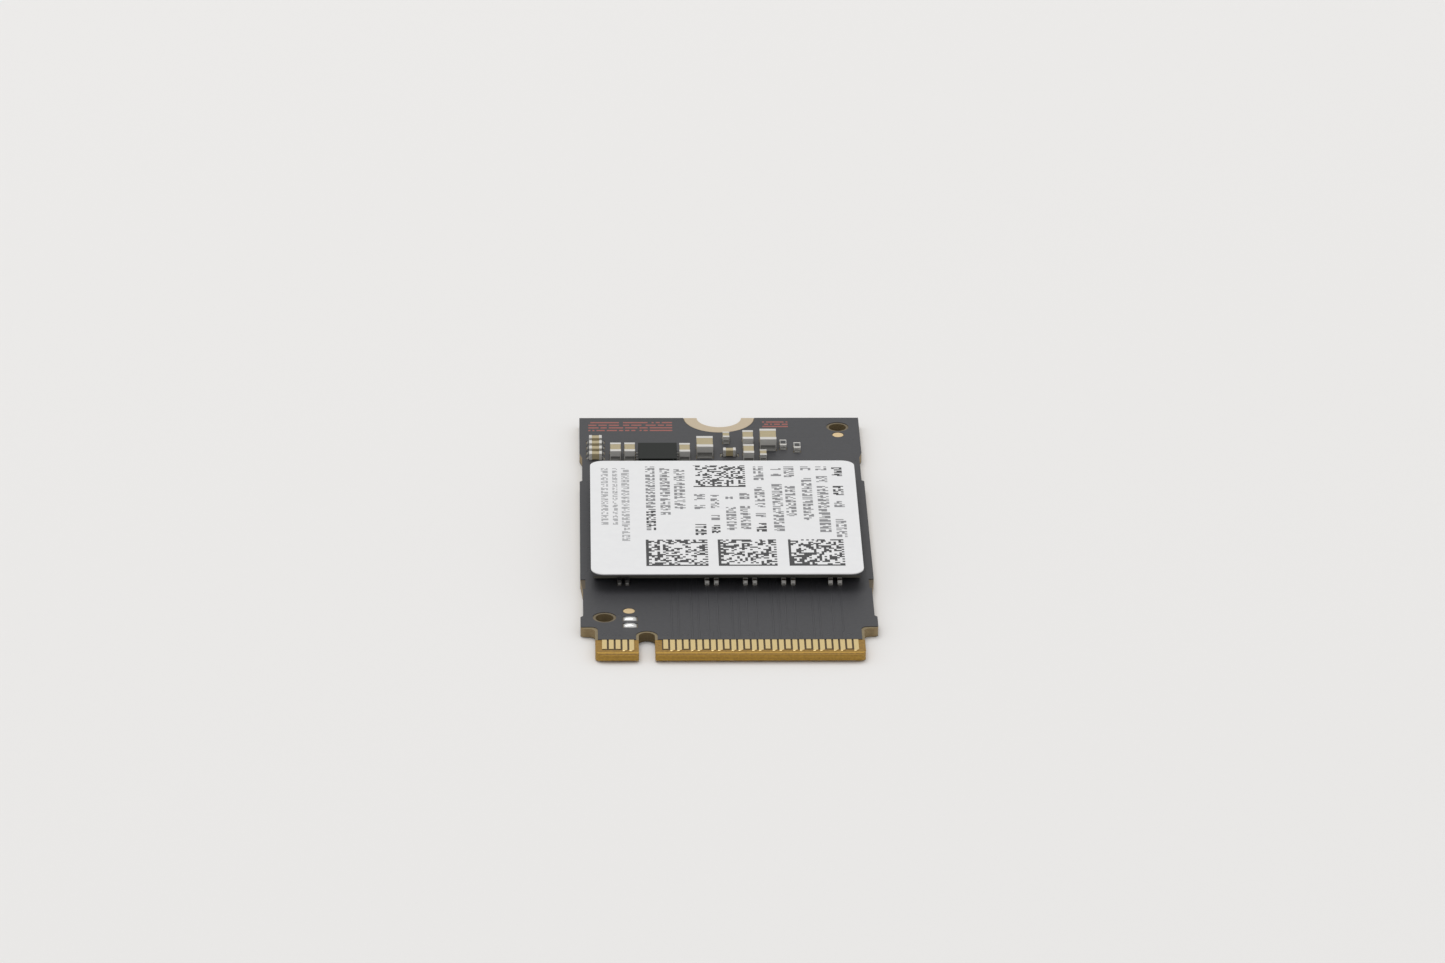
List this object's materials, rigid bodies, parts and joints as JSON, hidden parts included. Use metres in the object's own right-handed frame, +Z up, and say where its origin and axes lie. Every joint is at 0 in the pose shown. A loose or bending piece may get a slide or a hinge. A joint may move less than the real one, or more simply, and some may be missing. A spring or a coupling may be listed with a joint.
{
  "type": "solid state drive",
  "caption": "Short single-sided plug-in solid state drive card with gold edge contacts, a half-round screw notch and a labelled memory package.",
  "frame": {"origin": "middle of the card's outline on its underside, on the surface it lies on", "axes": "+X along the contact edge, +Y from the contact edge towards the screw notch, +Z up through the parts"},
  "size_m": [0.022, 0.042, 0.0021],
  "materials": {
    "laminate": "satin woven glass epoxy, bare",
    "inner_copper": "matt copper foil",
    "gold_plating": "smooth gold over nickel",
    "solder_mask": "satin dark grey coating",
    "tinned_ends": "satin tin",
    "solder": "bright solder",
    "capacitor_ceramic": "matt tan ceramic",
    "resistor_ceramic": "matt white alumina",
    "resistor_glaze": "black overcoat",
    "moulded_ferrite": "matt pressed ferrite powder",
    "moulding_compound": "fine matt black",
    "substrate_resin": "satin resin laminate",
    "silicon": "polished silicon",
    "crystal_ceramic": "matt dark ceramic",
    "crystal_lid_metal": "satin plated lid",
    "label_paper": "satin white film",
    "label_glue": "clear acrylic adhesive",
    "print_ink": "matt dark print",
    "legend_ink": "matt dull red legend"
  },
  "bodies": {
    "root": {"bond_wires": "gold_plating", "bulk_capacitor_bodies": "capacitor_ceramic", "bulk_capacitor_ends": "tinned_ends", "bypass_capacitor_bodies": "capacitor_ceramic", "bypass_capacitor_ends": "tinned_ends", "component_lands": "gold_plating", "controller_die": "silicon", "crystal_base": "crystal_ceramic", "crystal_lid": "crystal_lid_metal", "edge_contacts_bottom": "gold_plating", "edge_contacts_top": "gold_plating", "fiducials": "gold_plating", "flash_die_stack": "silicon", "ground_plane": "inner_copper", "inductor_bodies": "moulded_ferrite", "inductor_terminals": "tinned_ends", "label_adhesive": "label_glue", "label_film": "label_paper", "laminate_core": "laminate", "lane_capacitor_bodies": "capacitor_ceramic", "lane_capacitor_ends": "tinned_ends", "option_pad_solder": "solder", "package_mould": "moulding_compound", "package_solder_balls": "solder", "package_substrate": "substrate_resin", "plated_vias": "inner_copper", "power_chip_body": "moulding_compound", "power_chip_leads": "tinned_ends", "power_plane": "inner_copper", "prepreg_bottom": "laminate", "prepreg_top": "laminate", "resistor_bodies": "resistor_ceramic", "resistor_coats": "resistor_glaze", "resistor_ends": "tinned_ends", "screw_notch_plating": "gold_plating", "sense_resistor_bodies": "resistor_ceramic", "sense_resistor_ends": "tinned_ends", "signal_traces": "inner_copper", "solder_joints": "solder", "solder_mask_bottom": "solder_mask", "solder_mask_top": "solder_mask", "tank_capacitor_bodies": "capacitor_ceramic", "tank_capacitor_ends": "tinned_ends", "test_pads": "gold_plating"}
  },
  "joints": []
}
